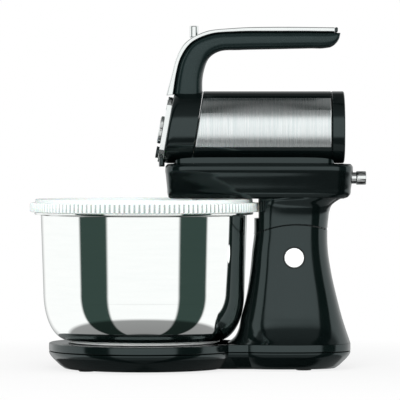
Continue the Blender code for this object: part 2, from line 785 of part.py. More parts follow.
eject_bore = rod(2.4, (SOCKET_X, 0, 270), (SOCKET_X, 0, 350), 20)
eject_pocket = prism(superellipse((SOCKET_X, 0), 4.6, 9.4, 3, 24), 318, 350)
spring_pocket = rod(4.2, (SOCKET_X, 0, 300), (SOCKET_X, 0, 330), 20)
node(
    "handle_grip",
    rounded(side_prism(grip_outline, GRIP_HALF), 4.5, 2),
    black(),
    take=[shape_of(combined(body_lump(-GAP))), eject_pocket, eject_bore, spring_pocket],
)
strip_under = [(x - GAP * 1.2, z + GAP) for x, z in grip_back]
strip_under[0] = (-24.9, 276.9)
node(
    "handle_trim",
    side_prism(smooth(STRIP_BACK, 2) + strip_under[::-1], TRIM_HALF),
    chrome(),
    take=[eject_pocket],
)
node("handle_end_block", rounded(box((136.4, -12.5, 335.95), (139.3, 12.5, 340.8)), 0.8, 1), black())

# ---------------------------------------------------------------- controls on the nose

lean_up = Vector((sin(FASCIA_LEAN), 0, cos(FASCIA_LEAN)))
lean_out = Vector((-cos(FASCIA_LEAN), 0, sin(FASCIA_LEAN)))
fascia_start = Vector((FASCIA_FOOT[0], 0, FASCIA_FOOT[1])) + lean_out * GAP


def on_fascia(outline, low, high):
    """An outline in (across, up the fascia) given depth between two distances out from the nose."""
    levels = []
    for depth in (low, high):
        placed = [Vector(fascia_point(up, depth)) + Vector((0, across, 0)) for across, up in outline]
        levels.append([tuple(point) for point in placed])
    return stack(levels)


def fascia_point(up, out=0.0):
    return tuple(fascia_start + lean_up * up + lean_out * out)


UPPER_UP, DIAL_UP, LOWER_UP = 58.5, 32.0, 9.4
PANEL_HALF = 17.0
panel = superellipse((0, FASCIA_UP / 2), PANEL_HALF, FASCIA_UP / 2, 4, 32)
upper_hole = superellipse((0, UPPER_UP - 1), 9.6, 5.6, 3, 24)
lower_hole = superellipse((0, LOWER_UP), 10.6, 6.1, 3, 24)
node(
    "control_fascia",
    rounded(on_fascia(panel, 0, FASCIA_THICK), 1.0, 2),
    chrome(),
    take=[
        on_fascia(upper_hole, -2, FASCIA_THICK + 3),
        on_fascia(lower_hole, -2, FASCIA_THICK + 3),
        rod(2.6, fascia_point(DIAL_UP, -4), fascia_point(DIAL_UP, FASCIA_THICK + 4), 24),
    ],
)


def button(up, half_u, half_v, out):
    """A button in the fascia with a short travel left behind its back face."""
    outline = superellipse((0, up), half_u, half_v, 3, 24)
    return rounded(on_fascia(outline, 2.7, out), 0.7, 2)


node("turbo_button", button(UPPER_UP - 1, 9.3, 5.3, FASCIA_THICK + 0.5), chrome(), fascia_point(UPPER_UP))
node("lower_button", button(LOWER_UP, 10.3, 5.8, FASCIA_THICK + 3.0), black(), fascia_point(LOWER_UP))
grip_ring = gear_outline((0, 0), 20, DIAL_R - 0.35, 0, 0.35, 0.35)
dial = turned(prism(grip_ring, 0, 3.6), fascia_point(DIAL_UP, FASCIA_THICK + GAP), lean_out)
node(
    "speed_dial",
    dial,
    chrome(),
    fascia_point(DIAL_UP, FASCIA_THICK + GAP),
    add=[rod(2.5, fascia_point(DIAL_UP, 0.5), fascia_point(DIAL_UP, FASCIA_THICK + 2), 24)],
)

# Eject button: a stadium cap over a rod that reaches the spindles' yoke
cap = rounded(prism(superellipse((SOCKET_X, 0), 4.2, 9.0, 3, 24), 331, 342.3), 0.8, 2)
node(
    "eject_button",
    cap,
    chrome(),
    (SOCKET_X, 0, 331),
    add=[rod(2.1, (SOCKET_X, 0, 272), (SOCKET_X, 0, 334), 20)],
)
node("eject_spring", helix_coil((SOCKET_X, 0), 300.3, 330.7, 3.1, 0.5, 6), steel(), (SOCKET_X, 0, 300.3))

# ---------------------------------------------------------------- motor, gearbox and beaters

MOTOR_X = 78.0
CORE_LENGTH = 34.0


def on_motor(profile, start_x, count=24):
    """A lathe turned about the motor's axis, measured rearwards from start_x."""
    return turned(lathe(profile, count), (start_x, 0, BODY_Z), (1, 0, 0))


def worm(length, start_x, turns, count=8):
    """Two-start thread: an oval section that turns as it runs along the shaft."""
    rings = []
    steps = turns * 6
    for k in range(steps + 1):
        twist = 2 * pi * k / 12
        ring = []
        for i in range(count):
            angle = 2 * pi * i / count
            radius = WORM_R - 0.75 + 0.75 * cos(2 * (angle - twist))
            ring.append((start_x + length * k / steps, radius * cos(angle), BODY_Z + radius * sin(angle)))
        rings.append(ring)
    return stack(rings)


shaft = rod(3.0, (-20, 0, BODY_Z), (127, 0, BODY_Z), 24)
node("armature_shaft", worm(18.0, SOCKET_X - 9, 3), dark_steel(), (0, 0, BODY_Z), add=[shaft])
slots = [(12.6 if i % 2 else 14.5, 2 * pi * (i + share) / 12) for i in range(12) for share in (-0.3, 0.3)]
core_outline = [(radius * cos(angle), radius * sin(angle)) for radius, angle in slots]
bore = rod(3.2, (0, 0, BODY_Z), (140, 0, BODY_Z), 24)
core = turned(prism(core_outline, 0, CORE_LENGTH), (MOTOR_X - CORE_LENGTH / 2, 0, BODY_Z), (1, 0, 0))
node("armature_core", core, copper(), (0, 0, BODY_Z), take=[bore])
node("commutator", on_motor([(3.2, 0), (9, 0), (9, 12), (3.2, 12)], 97), copper(), (0, 0, BODY_Z))


def fan_shape():
    hub = tube(7, 3.2, (34, 0, BODY_Z), (44, 0, BODY_Z))
    plate = tube(19, 6, (34, 0, BODY_Z), (35.5, 0, BODY_Z))
    made = combined(hub, plate)
    for i in range(8):
        angle = 2 * pi * i / 8
        blade = prism([(6, -0.7), (18.5, -0.7), (18.5, 0.7), (6, 0.7)], 1, 9)
        spin = Matrix.Rotation(angle, 4, "Z")
        blade = [tuple(spin @ Vector(p)) for p in blade[0]], blade[1]
        boolean(made, turned(blade, (34, 0, BODY_Z), (1, 0, 0)), "UNION")
    return shape_of(made)


node("cooling_fan", fan_shape(), white(), (0, 0, BODY_Z))
field = on_motor([(15, 0), (24, 0), (24, CORE_LENGTH), (15, CORE_LENGTH)], MOTOR_X - CORE_LENGTH / 2)
node("field_stator", field, dark_steel())
node("motor_bearing_front", on_motor([(3.08, 0), (7, 0), (7, 6), (3.08, 6)], 24), dark_steel())
node("motor_bearing_rear", on_motor([(3.08, 0), (7, 0), (7, 6), (3.08, 6)], 119), dark_steel())
node("brush_left", box((100, -19, BODY_Z - 3), (106, -9.3, BODY_Z + 3)), dark_steel())
node("brush_right", box((100, 9.3, BODY_Z - 3), (106, 19, BODY_Z + 3)), dark_steel())

# Motor frame: a keel along the housing's floor with saddles that hold the stator, bearings and brushes
keel = box((18, -12, 208.7), (127, 12, 211))
posts = [
    box((24.3, -12, 209), (29.7, 12, BODY_Z + 8)),
    box((MOTOR_X - 14, -16, 209.5), (MOTOR_X + 14, 16, BODY_Z - 12)),
    box((119.3, -12, 209), (124.7, 12, BODY_Z + 8)),
    box((101, -14, 209), (105, 14, BODY_Z - 8)),
    box((101, -22.5, 225), (105, 22.5, BODY_Z + 4)),
]
node(
    "motor_frame",
    keel,
    nylon(),
    add=posts,
    take=[
        rod(7.3, (15, 0, BODY_Z), (31, 0, BODY_Z), 20),
        rod(24.3, (50, 0, BODY_Z), (96.5, 0, BODY_Z), 28),
        rod(7.3, (115, 0, BODY_Z), (130, 0, BODY_Z), 20),
        rod(10.0, (96.5, 0, BODY_Z), (112, 0, BODY_Z), 20),
        box((99.7, -19.3, BODY_Z - 3.3), (106.3, 19.3, BODY_Z + 3.3)),
    ],
)

# Gearbox frame: a plate under the worm wheels that carries the two spindles
gear_plate = box((-24, -34, 224), (16, 34, 228))
node(
    "gearbox_frame",
    gear_plate,
    nylon(),
    add=[box((-24, -34, 224), (-20, 34, 247)), box((12, -34, 224), (16, 34, 247))],
    take=[rod(5.6, (*c, 200), (*c, 260), 20) for c in beater_centres.values()]
    + [rod(5.0, (-40, 0, BODY_Z), (30, 0, BODY_Z), 20)],
    keep=[housing(lambda z: nose_x(z, SHELL + 1 + GAP), lambda z: 60, SHELL + GAP, 0.97)],
)
node("circuit_board", box((40, -14, 270), (95, 14, 271.6)), material("board_green", (0.02, 0.16, 0.07), 0.5))

BEATER_PHASE = {"left": radians(45), "right": 0.0}
worm_phase = {"left": pi / 2, "right": -pi / 2}


def loop(centre, phase):
    """One closed blade loop in a vertical plane, widest near the middle of its height."""
    mid = [(4.0, BLADE_HIGH), (14, BLADE_HIGH - 5), (BEATER_R - 2, BLADE_HIGH - 26)]
    mid += [(BEATER_R - 0.8, 92), (19.5, 62), (11, 47), (0, BLADE_LOW + 1)]
    path = [(-r, z) for r, z in mid[:-1]] + [(r, z) for r, z in reversed(mid)]
    frames = []
    for i, (r, z) in enumerate(path):
        before, after = path[max(i - 1, 0)], path[min(i + 1, len(path) - 1)]
        length = hypot(after[0] - before[0], after[1] - before[1])
        side = ((after[1] - before[1]) / length, -(after[0] - before[0]) / length)
        ring = []
        for depth, width in ((-0.8, -3.4), (0.8, -3.4), (0.8, 3.4), (-0.8, 3.4)):
            reach = r + side[0] * depth
            ring.append(
                (
                    centre[0] + reach * cos(phase) - width * sin(phase),
                    centre[1] + reach * sin(phase) + width * cos(phase),
                    z + side[1] * depth,
                )
            )
        frames.append(ring)
    return stack(frames)


for side, centre in beater_centres.items():
    wheel_outline = gear_outline(centre, WHEEL_TEETH, WHEEL_R - 0.7, worm_phase[side], 0.7, 0.9)
    node(
        f"worm_wheel_{side}",
        prism(wheel_outline, 237.5, 244.5),
        nylon(),
        (*centre, 230),
        add=[
            rod(8.5, (*centre, 229), (*centre, 250), 20),
            rod(5.4, (*centre, 208.4), (*centre, 232), 20),
        ],
        take=[rod(3.5, (*centre, 200), (*centre, 246), 16)],
    )
    phase = BEATER_PHASE[side]
    node(
        f"beater_{side}",
        rod(3.4, (*centre, 60), (*centre, 243), 16),
        steel(),
        (*centre, 150),
        add=[
            loop(centre, phase),
            loop(centre, phase + pi / 2),
            rod(5.0, (*centre, BLADE_HIGH - 4), (*centre, BLADE_HIGH + 4), 16),
            rod(4.0, (*centre, BLADE_LOW - 2), (*centre, 64), 16),
        ],
    )

collar_outline = gear_outline(beater_centres["right"], COLLAR_TEETH, collar_r, collar_phase, 1.0, 1.35)
node(
    "beater_collar_gear",
    prism(collar_outline, GEAR_LOW, GEAR_LOW + GEAR_H),
    nylon(),
    (*beater_centres["right"], GEAR_LOW),
    take=[rod(3.7, (*beater_centres["right"], 170), (*beater_centres["right"], 200), 24)],
)
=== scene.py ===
import json

import bmesh
import bpy
import numpy as np
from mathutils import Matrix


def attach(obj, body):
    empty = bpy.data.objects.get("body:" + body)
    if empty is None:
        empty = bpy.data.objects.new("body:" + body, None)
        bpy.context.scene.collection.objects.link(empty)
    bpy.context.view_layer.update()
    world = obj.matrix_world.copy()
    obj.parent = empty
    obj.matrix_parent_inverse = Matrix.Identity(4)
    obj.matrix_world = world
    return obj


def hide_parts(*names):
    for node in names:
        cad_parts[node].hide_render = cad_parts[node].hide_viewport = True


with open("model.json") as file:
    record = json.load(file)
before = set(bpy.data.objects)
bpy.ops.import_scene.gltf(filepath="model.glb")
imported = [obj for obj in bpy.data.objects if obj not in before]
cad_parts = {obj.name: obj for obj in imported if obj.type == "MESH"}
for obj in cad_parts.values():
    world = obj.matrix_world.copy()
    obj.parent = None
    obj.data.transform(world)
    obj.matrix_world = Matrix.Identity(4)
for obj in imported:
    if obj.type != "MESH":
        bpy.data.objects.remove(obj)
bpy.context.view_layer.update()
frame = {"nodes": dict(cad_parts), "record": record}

# ---------------------------------------------------------------------------------------------
# Camera. A long lens looks straight at the side of the machine, from just above the worktop's
# level, and takes in 400 mm of width at the middle of the object.
LENS = 300.0
SENSOR = 36.0
SEEN_WIDTH = 0.4
LOOK_AT = (0.002, 0.0, 0.1686)
RISE = np.radians(0.8)
reach = SEEN_WIDTH * LENS / SENSOR
eye = bpy.data.cameras.new("eye")
eye.lens, eye.sensor_width, eye.clip_end = LENS, SENSOR, 50
camera = bpy.data.objects.new("camera", eye)
camera.location = (LOOK_AT[0], -reach * np.cos(RISE), LOOK_AT[2] + reach * np.sin(RISE))
camera.rotation_euler = (np.pi / 2 - RISE, 0, 0)
bpy.context.scene.collection.objects.link(camera)
bpy.context.scene.camera = camera

# ---------------------------------------------------------------------------------------------
# Studio. A white sweep of light with a dark flag on each side of the front, which draws the two
# dark bars on polished metal, a soft box overhead, and a pale floor that fades out to the white.
FLAG_START, FLAG_END = 39.5, 77.5
FLAG_EDGE = 3.0
FLAG_SHADE = (0.036, 0.06, 0.052)
WHITE, DIM = (1, 1, 1), (0.35, 0.36, 0.36)
# Colour by bearing in degrees from the front, then strength by the sine of the rise: for the sky,
# and for what a bounce card sends up under the bowl.
ROUND = (
    (FLAG_START, WHITE),
    (FLAG_START + FLAG_EDGE, FLAG_SHADE),
    (FLAG_END - FLAG_EDGE, FLAG_SHADE),
    (FLAG_END, WHITE),
    (150, WHITE),
    (172, DIM),
)
SKY = ((-0.4, 0.09), (-0.3, 0.12), (-0.2, 1.0), (0.5, 1.0), (0.64, 0.24), (0.9, 0.16), (1, 0.1))
UNDER_BOWL = ((-0.95, 0.01), (-0.92, 0.25), (-0.58, 0.3), (-0.52, 1.0), (1, 1.0))


def ramp(tree, source, stops):
    """Colour ramp over 0 to 1 through the given (place, shade) stops."""
    made = tree.nodes.new("ShaderNodeValToRGB")
    marks = made.color_ramp.elements
    for mark, (place, shade) in zip((marks[0], marks[1]), (stops[0], stops[-1])):
        mark.position, mark.color = place, (*shade, 1)
    for place, shade in stops[1:-1]:
        marks.new(place).color = (*shade, 1)
    tree.links.new(source, made.inputs[0])
    return made.outputs[0]


def maths(tree, operation, source, other=None):
    """Maths node on one or two values, each a socket to link or a plain number."""
    made = tree.nodes.new("ShaderNodeMath")
    made.operation = operation
    for socket, value in zip(made.inputs, (source, other)):
        if isinstance(value, bpy.types.NodeSocket):
            tree.links.new(value, socket)
        elif value is not None:
            socket.default_value = value
    return made.outputs[0]


def studio_light(tree, direction, sign, tiers):
    """Colour and strength of the studio seen along a direction times sign: the colour follows the
    bearing from the front (arctangent of across over ahead), the strength the rise."""
    split = tree.nodes.new("ShaderNodeSeparateXYZ")
    tree.links.new(direction, split.inputs[0])
    across = maths(tree, "MULTIPLY", split.outputs["X"], sign)
    ahead = maths(tree, "MULTIPLY", split.outputs["Y"], -sign)
    bearing = maths(tree, "ABSOLUTE", maths(tree, "ARCTAN2", across, ahead))
    half_turns = maths(tree, "DIVIDE", bearing, np.pi)
    colour = ramp(tree, half_turns, [(degrees / 180, shade) for degrees, shade in ROUND])
    rise = maths(tree, "MULTIPLY_ADD", split.outputs["Z"], 0.5 * sign)
    rise.node.inputs[2].default_value = 0.5
    return colour, ramp(tree, rise, [((height + 1) / 2, (shade,) * 3) for height, shade in tiers])


world = bpy.data.worlds.new("studio")
world.use_nodes = True
bpy.context.scene.world = world
tree = world.node_tree
tree.nodes.clear()
sky_out = tree.nodes.new("ShaderNodeOutputWorld")
coords = tree.nodes.new("ShaderNodeTexCoord")
colour, strength = studio_light(tree, coords.outputs["Generated"], 1, SKY)
seen = tree.nodes.new("ShaderNodeBackground")
seen.inputs["Color"].default_value = (1, 1, 1, 1)
lit = tree.nodes.new("ShaderNodeBackground")
tree.links.new(colour, lit.inputs["Color"])
tree.links.new(strength, lit.inputs["Strength"])
path = tree.nodes.new("ShaderNodeLightPath")
choice = tree.nodes.new("ShaderNodeMixShader")
tree.links.new(path.outputs["Is Camera Ray"], choice.inputs[0])
tree.links.new(lit.outputs[0], choice.inputs[1])
tree.links.new(seen.outputs[0], choice.inputs[2])
tree.links.new(choice.outputs[0], sky_out.inputs[0])

for name, spot, tilt, size, energy, mirrored in (
    ("soft_box", (0.0, -0.3, 1.1), 15, 0.5, 3, False),
    ("front_fill", (-0.3, -2.2, 0.9), 68, 1.6, 55, False),
):
    lamp = bpy.data.lights.new(name, "AREA")
    lamp.size, lamp.energy = size, energy
    light = bpy.data.objects.new(name, lamp)
    light.location = spot
    light.rotation_euler = (np.radians(tilt), 0, 0)
    light.visible_glossy = mirrored
    bpy.context.scene.collection.objects.link(light)
bpy.context.scene.view_settings.view_transform = "Standard"

FLOOR_R, FLOOR_DROP, FLOOR_SIDES = 0.8, 0.0002, 96
FADE_FROM, FADE_TO, GLOW_SHARE = 0.15, 0.55, 0.8
angles = np.linspace(0, 2 * np.pi, FLOOR_SIDES, endpoint=False)
edge = np.stack([FLOOR_R * np.cos(angles), FLOOR_R * np.sin(angles), 0 * angles - FLOOR_DROP], -1)
sheet = bpy.data.meshes.new("floor")
sheet.from_pydata(edge.tolist(), [], [tuple(range(FLOOR_SIDES))])
floor = bpy.data.objects.new("floor", sheet)
bpy.context.scene.collection.objects.link(floor)
floor.visible_glossy = False
pale = bpy.data.materials.new("pale_floor")
pale.use_nodes = True
tree = pale.node_tree
tree.nodes.clear()
out = tree.nodes.new("ShaderNodeOutputMaterial")
paint = tree.nodes.new("ShaderNodeBsdfDiffuse")
paint.inputs["Color"].default_value = (0.9, 0.9, 0.9, 1)
glow = tree.nodes.new("ShaderNodeEmission")
coords = tree.nodes.new("ShaderNodeTexCoord")
length = tree.nodes.new("ShaderNodeVectorMath")
length.operation = "LENGTH"
tree.links.new(coords.outputs["Object"], length.inputs[0])
fade = tree.nodes.new("ShaderNodeMapRange")
fade.inputs["From Min"].default_value = FADE_FROM
fade.inputs["From Max"].default_value = FADE_TO
fade.inputs["To Min"].default_value = GLOW_SHARE
tree.links.new(length.outputs["Value"], fade.inputs["Value"])
mixed = tree.nodes.new("ShaderNodeMixShader")
tree.links.new(fade.outputs[0], mixed.inputs[0])
tree.links.new(paint.outputs[0], mixed.inputs[1])
tree.links.new(glow.outputs[0], mixed.inputs[2])
tree.links.new(mixed.outputs[0], out.inputs[0])
sheet.materials.append(pale)

# A bounce card lies on the floor round the bowl, out of the camera's sight. It carries the flags on
# downwards and fills the bowl's lower side with light, then grey, then black close under it.
CARD_CENTRE, CARD_RADII, CARD_SIDES = (-0.054, 0, 0.0005), (0.097, 0.4), 120
angles = np.linspace(0, 2 * np.pi, CARD_SIDES, endpoint=False)
ring = np.stack([np.cos(angles), np.sin(angles), 0 * angles], -1)
rows = np.array(CARD_CENTRE) + ring * np.array(CARD_RADII)[:, None, None]
index = np.arange(2 * CARD_SIDES).reshape(2, CARD_SIDES)
quads = np.stack([index[0], np.roll(index[0], -1), np.roll(index[1], -1), index[1]], -1)
sheet = bpy.data.meshes.new("bounce_card")
sheet.from_pydata(rows.reshape(-1, 3).tolist(), [], quads.tolist())
card = bpy.data.objects.new("bounce_card", sheet)
bpy.context.scene.collection.objects.link(card)
card.visible_camera = card.visible_diffuse = card.visible_shadow = False
paper = bpy.data.materials.new("bounce_card")
paper.use_nodes = True
tree = paper.node_tree
tree.nodes.clear()
end = tree.nodes.new("ShaderNodeOutputMaterial")
shine = tree.nodes.new("ShaderNodeEmission")
facing = tree.nodes.new("ShaderNodeNewGeometry")
colour, strength = studio_light(tree, facing.outputs["Incoming"], -1, UNDER_BOWL)
tree.links.new(colour, shine.inputs["Color"])
tree.links.new(strength, shine.inputs["Strength"])
tree.links.new(shine.outputs[0], end.inputs[0])
sheet.materials.append(paper)

# ---------------------------------------------------------------------------------------------
# Stand moulding. One glossy black plastic shell: a round base under the bowl and a column that
# rises out of the rear foot and narrows to a waist. Its top is an arched seam for the head.
MM = 0.001
BOWL_AXIS = (-54.0, 0.0)
BASE_R = 95.0
FOOT = (88.0, 64.4, 50.0)
WAIST = (36.0, 52.0, 44.0)
FOOT_POWER, WAIST_POWER = 2.5, 5
BASE_BAND = (18.6, 26.3)
DISC_EDGE, FOOT_EDGE = 1.0, 0.8
SEAM_CENTRE, SEAM_R = (98.0, 52.4), 91.85
COLUMN_ROWS = np.array(
    [
        (26.2, 30.0, 152.2, 49.8),
        (31.0, 36.0, 150.6, 46.0),
        (38.0, 40.0, 148.2, 42.0),
        (50.2, 42.8, 144.3, 37.5),
        (68.6, 47.6, 139.4, 33.0),
        (98.6, 52.4, 132.7, 30.0),
        (118.6, 54.3, 129.8, 29.0),
        (135.0, 56.2, 129.2, 29.0),
        (150.0, 56.3, 130.0, 29.5),
    ]
)
COLUMN_LOW, COLUMN_HIGH, COLUMN_LEVELS = 26.2, 149, 110
COLUMN_POWER = 2.5
SEAM_CHAMFER = 0.5


def group_input(tree, name, kind="NodeSocketFloat", value=None):
    """Adds one input socket, with its starting value, to a node group."""
    socket = tree.interface.new_socket(name=name, in_out="INPUT", socket_type=kind)
    if value is not None:
        socket.default_value = value


def mottle_group():
    """Object-space noise of several octaves, stretched by Grain along each axis and brought into
    the span from Low to High."""
    made = bpy.data.node_groups.new("surface_mottle", "ShaderNodeTree")
    group_input(made, "Grain", "NodeSocketVector", (1, 1, 1))
    group_input(made, "Scale", value=40.0)
    group_input(made, "Low", value=0.0)
    group_input(made, "High", value=1.0)
    made.interface.new_socket(name="Value", in_out="OUTPUT", socket_type="NodeSocketFloat")
    entry, leave = made.nodes.new("NodeGroupInput"), made.nodes.new("NodeGroupOutput")
    coords = made.nodes.new("ShaderNodeTexCoord")
    stretch = made.nodes.new("ShaderNodeVectorMath")
    stretch.operation = "MULTIPLY"
    made.links.new(coords.outputs["Object"], stretch.inputs[0])
    made.links.new(entry.outputs["Grain"], stretch.inputs[1])
    noise = made.nodes.new("ShaderNodeTexNoise")
    noise.inputs["Detail"].default_value = 4
    made.links.new(stretch.outputs[0], noise.inputs["Vector"])
    made.links.new(entry.outputs["Scale"], noise.inputs["Scale"])
    span = made.nodes.new("ShaderNodeMapRange")
    span.inputs["From Min"].default_value = 0.3
    span.inputs["From Max"].default_value = 0.7
    made.links.new(noise.outputs["Fac"], span.inputs["Value"])
    made.links.new(entry.outputs["Low"], span.inputs["To Min"])
    made.links.new(entry.outputs["High"], span.inputs["To Max"])
    made.links.new(span.outputs[0], leave.inputs[0])
    return made


MOTTLE = mottle_group()


FINER = 1.7
RELIEF = 0.0002


def finish(
    name, dark, light, rough, metal=0.0, grain=(1, 1, 1), scale=40.0, bump=0.0, fine=900.0, tint=(1, 1, 1)
):
    """A procedural finish: the colour runs between two near tones with broad mottle, the roughness
    between two values with finer mottle, and a bump follows the same grain."""
    made = bpy.data.materials.new(name)
    made.use_nodes = True
    tree = made.node_tree
    shader = tree.nodes["Principled BSDF"]
    shader.inputs["Metallic"].default_value = metal
    shader.inputs["Specular Tint"].default_value = (*tint, 1)
    tone = tree.nodes.new("ShaderNodeGroup")
    tone.node_tree = MOTTLE
    tone.inputs["Grain"].default_value = grain
    tone.inputs["Scale"].default_value = scale
    blend = tree.nodes.new("ShaderNodeMix")
    blend.data_type = "RGBA"
    blend.inputs[6].default_value = (*dark, 1)
    blend.inputs[7].default_value = (*light, 1)
    tree.links.new(tone.outputs[0], blend.inputs[0])
    tree.links.new(blend.outputs[2], shader.inputs["Base Color"])
    wear = tree.nodes.new("ShaderNodeGroup")
    wear.node_tree = MOTTLE
    wear.inputs["Grain"].default_value = grain
    wear.inputs["Scale"].default_value = scale * FINER
    wear.inputs["Low"].default_value, wear.inputs["High"].default_value = rough
    tree.links.new(wear.outputs[0], shader.inputs["Roughness"])
    if bump:
        relief = tree.nodes.new("ShaderNodeGroup")
        relief.node_tree = MOTTLE
        relief.inputs["Grain"].default_value = grain
        relief.inputs["Scale"].default_value = fine
        raise_it = tree.nodes.new("ShaderNodeBump")
        raise_it.inputs["Strength"].default_value = bump
        raise_it.inputs["Distance"].default_value = RELIEF
        tree.links.new(relief.outputs[0], raise_it.inputs["Height"])
        tree.links.new(raise_it.outputs[0], shader.inputs["Normal"])
    return made


def skin(name, grids, material, body, nodes=(), sharp=35.0):
    """One mesh from grids of points in millimetres: quads between neighbouring points, closed round
    each row; a row whose points coincide becomes a pole. A grid given as (grid, True) also closes
    from its last row to its first."""
    points, faces, base = [], [], 0
    for entry in grids:
        grid, loop = entry if isinstance(entry, tuple) else (entry, False)
        rows, cols = grid.shape[:2]
        index = base + np.arange(rows * cols).reshape(rows, cols)
        low = index if loop else index[:-1]
        high = np.roll(index, -1, 0) if loop else index[1:]
        quads = np.stack([low, np.roll(low, -1, 1), np.roll(high, -1, 1), high], -1)
        points.append(grid.reshape(-1, 3) * MM)
        faces.append(quads.reshape(-1, 4))
        base += rows * cols
    mesh = bpy.data.meshes.new(name)
    mesh.from_pydata(np.concatenate(points).tolist(), [], np.concatenate(faces).tolist())
    work = bmesh.new()
    work.from_mesh(mesh)
    bmesh.ops.remove_doubles(work, verts=work.verts, dist=1e-6)
    bmesh.ops.dissolve_degenerate(work, dist=1e-7, edges=work.edges)
    bmesh.ops.recalc_face_normals(work, faces=work.faces)
    work.to_mesh(mesh)
    work.free()
    mesh.shade_smooth()
    mesh.set_sharp_from_angle(angle=np.radians(sharp))
    mesh.materials.append(material)
    made = bpy.data.objects.new(name, mesh)
    bpy.context.scene.collection.objects.link(made)
    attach(made, body)
    if nodes:
        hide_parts(*nodes)
    return made


def turned(profile, centre, count=192):
    """Lathe: each (radius, height) pair of the profile is carried once round the upright axis
    through centre."""
    angle = np.linspace(0, 2 * np.pi, count, endpoint=False)
    radius, height = np.asarray(profile, float).T[:, :, None]
    x, y = centre[0] + radius * np.cos(angle), centre[1] + radius * np.sin(angle)
    return np.stack([x, y, height + 0 * angle], -1)


def squarish(value, power):
    """Sign of a sine or cosine times its size to the power 2/n, which turns a circle into the
    superellipse |x|^n + |y|^n = 1."""
    return np.sign(value) * np.abs(value) ** (2 / power)


def oval(half_x, half_y, power, count=160):
    """Superellipse |x/a|^n + |y/b|^n = 1 with its points spread evenly by angle; half_x and half_y
    may be columns."""
    angle = np.linspace(0, 2 * np.pi, count, endpoint=False)
    return half_x * squarish(np.cos(angle), power), half_y * squarish(np.sin(angle), power)


def curve(knots, at):
    """Cubic Hermite curve through rows of knots, whose first column is the place, at the places
    given; each slope is the weighted difference of the knots on its two sides."""
    place, values = knots[:, 0], knots[:, 1:]
    slope = np.gradient(values, place, axis=0)
    i = np.clip(np.searchsorted(place, at, side="right") - 1, 0, len(place) - 2)
    step = (place[i + 1] - place[i])[:, None]
    t = ((at - place[i])[:, None] / step).clip(-0.5, 1.5)
    return (
        values[i] * (1 + 2 * t) * (1 - t) ** 2
        + slope[i] * step * t * (1 - t) ** 2
        + values[i + 1] * t**2 * (3 - 2 * t)
        + slope[i + 1] * step * t**2 * (t - 1)
    )


def tower(knots, heights, power, count=160):
    """Upright stack of superellipses whose left end, right end and half depth follow the knots over
    height."""
    left, right, half = curve(knots, heights).T[:, :, None]
    x, y = oval((right - left) / 2, half, power, count)
    return np.stack([x + (left + right) / 2, y, heights[:, None] + 0 * x], -1)


def closed_ends(grid):
    """Adds two shrunk copies of the first and last rows and a middle point at each end, so that the
    stack is closed."""
    ends = []
    for row in (grid[0], grid[-1]):
        middle = row.mean(0)
        ends.append([middle + (row - middle) * share for share in (0.0, 0.5, 0.97)])
    return np.concatenate([np.array(ends[0]), grid, np.array(ends[1][::-1])])


def rounded_slab(x, y, low, high, edge):
    """Upright slab of one outline with both rims rounded: the outline shrinks by the edge radius
    along a quarter circle."""
    turn = np.linspace(0, np.pi / 2, 7)
    inset = np.concatenate([edge * (1 - np.sin(turn)), edge * (1 - np.cos(turn))])
    z = np.concatenate([low + edge * (1 - np.cos(turn)), high - edge * (1 - np.sin(turn))])
    centre = np.array([x.mean(), y.mean()])
    size = np.hypot(x - centre[0], y - centre[1])
    shrink = 1 - inset[:, None] / size
    wide, deep = centre[0] + (x - centre[0]) * shrink, centre[1] + (y - centre[1]) * shrink
    return np.stack([wide, deep, z[:, None] + 0 * x], -1)


def seam_height(x, radius):
    """Height of the arched seam: an upper half circle about SEAM_CENTRE."""
    return SEAM_CENTRE[1] + np.sqrt(np.maximum(radius**2 - (x - SEAM_CENTRE[0]) ** 2, 0))


TEAL = (0.8, 1.0, 1.0)
black_gloss = finish(
    "black_gloss_moulding",
    (0.0012, 0.0024, 0.0024),
    (0.002, 0.0036, 0.0036),
    (0.09, 0.15),
    scale=18,
    tint=TEAL,
)
black_gloss.node_tree.nodes["Principled BSDF"].inputs["Specular IOR Level"].default_value = 0.7
column = tower(COLUMN_ROWS, np.linspace(COLUMN_LOW, COLUMN_HIGH, COLUMN_LEVELS), COLUMN_POWER)
share = np.linspace(0, 1, COLUMN_LEVELS)[:, None]
# The levels stretch until each one ends on the arched seam; a few rounds settle them, since a
# point's seam height depends on how far out it lies.
for _ in range(6):
    top = seam_height(column[..., 0], SEAM_R)
    heights = COLUMN_LOW + share * (top - COLUMN_LOW)
    ends = curve(COLUMN_ROWS, heights.ravel()).reshape(*heights.shape, 3)
    ox, oy = oval((ends[..., 1] - ends[..., 0]) / 2, ends[..., 2], COLUMN_POWER)
    column = np.stack([ox + (ends[..., 0] + ends[..., 1]) / 2, oy, heights], -1)
inward = np.concatenate([[0.975], np.linspace(0.95, 0, 13)])[:, None, None]
cap = column[-1] * inward + column[-1].mean(0) * (1 - inward)
cap[..., 2] = seam_height(cap[..., 0], SEAM_R)
column[-1, :, 2] -= SEAM_CHAMFER
column = np.concatenate([closed_ends(column)[:3], column, cap])
angle = np.linspace(0, 2 * np.pi, 256, endpoint=False)
disc_x, disc_y = BOWL_AXIS[0] + BASE_R * np.cos(angle), BASE_R * np.sin(angle)
disc = rounded_slab(disc_x, disc_y, *BASE_BAND, DISC_EDGE)
foot_x, foot_y = oval(FOOT[1], FOOT[2], FOOT_POWER)
foot = rounded_slab(FOOT[0] + foot_x, foot_y, *BASE_BAND, FOOT_EDGE)
waist_x, waist_y = oval(WAIST[1], WAIST[2], WAIST_POWER)
waist = rounded_slab(WAIST[0] + waist_x, waist_y, *BASE_BAND, FOOT_EDGE)
skin(
    "stand_moulding",
    [column, closed_ends(disc), closed_ends(foot), closed_ends(waist)],
    black_gloss,
    "stand",
    ["stand_shell"],
)

